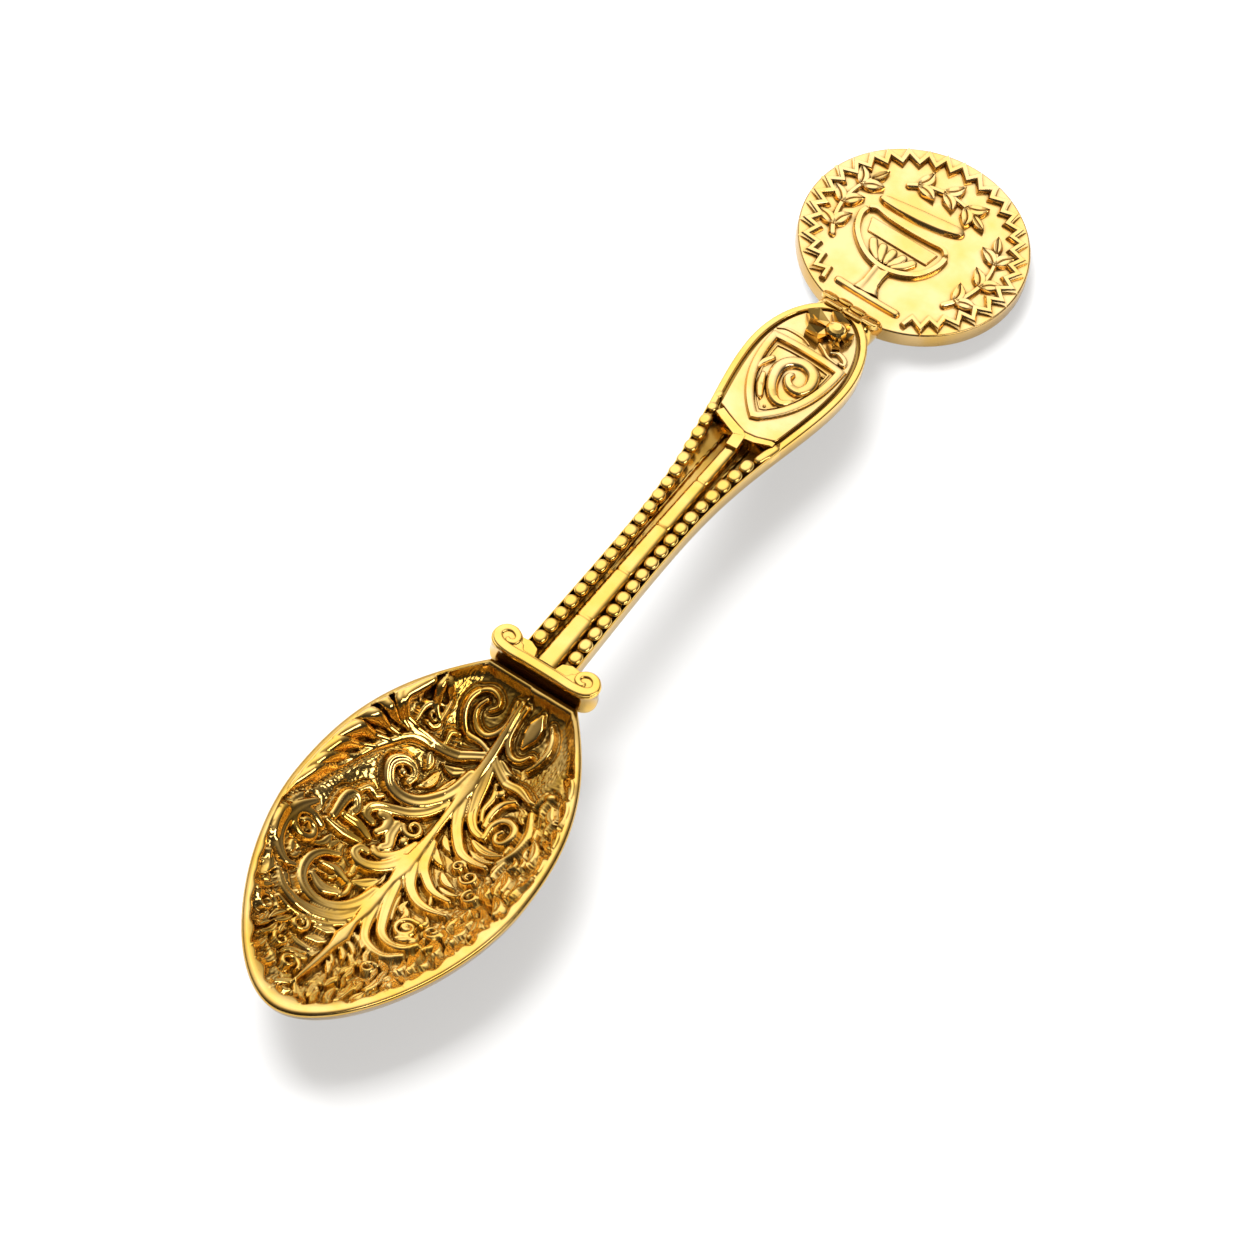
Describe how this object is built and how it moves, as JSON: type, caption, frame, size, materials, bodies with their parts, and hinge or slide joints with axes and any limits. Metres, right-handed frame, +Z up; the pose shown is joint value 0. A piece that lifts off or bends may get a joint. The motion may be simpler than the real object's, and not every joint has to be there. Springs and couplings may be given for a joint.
{
  "type": "ornate spoon",
  "caption": "Gilt keepsake spoon with a vine-chased bowl, scrolled collar, beaded handle, shield cartouche and a round medallion at the end",
  "frame": {"origin": "on the table under the middle of the spoon's length", "axes": "+X across the spoon, +Y from the bowl's tip towards the medallion, +Z up"},
  "size_m": [0.0246, 0.1174, 0.0099],
  "materials": {
    "gilt_chased": "polished",
    "gilt_polished": "polished",
    "gilt_struck": "satin"
  },
  "bodies": {
    "root": {"bowl": "gilt_chased", "collar": "gilt_polished", "handle_body": "gilt_polished", "bead_wire_left": "gilt_polished", "bead_wire_right": "gilt_polished", "centre_rod": "gilt_polished", "rod_yoke": "gilt_polished", "bud": "gilt_polished", "clasp": "gilt_polished", "cartouche_plate": "gilt_struck", "shield_frame": "gilt_struck", "shield_scroll": "gilt_struck", "bud_leaf": "gilt_struck", "medallion_disc": "gilt_struck", "zigzag_border": "gilt_struck", "goblet": "gilt_struck", "goblet_lid": "gilt_struck", "sprig_left": "gilt_struck", "sprig_right": "gilt_struck", "sprig_top": "gilt_struck"}
  },
  "joints": []
}
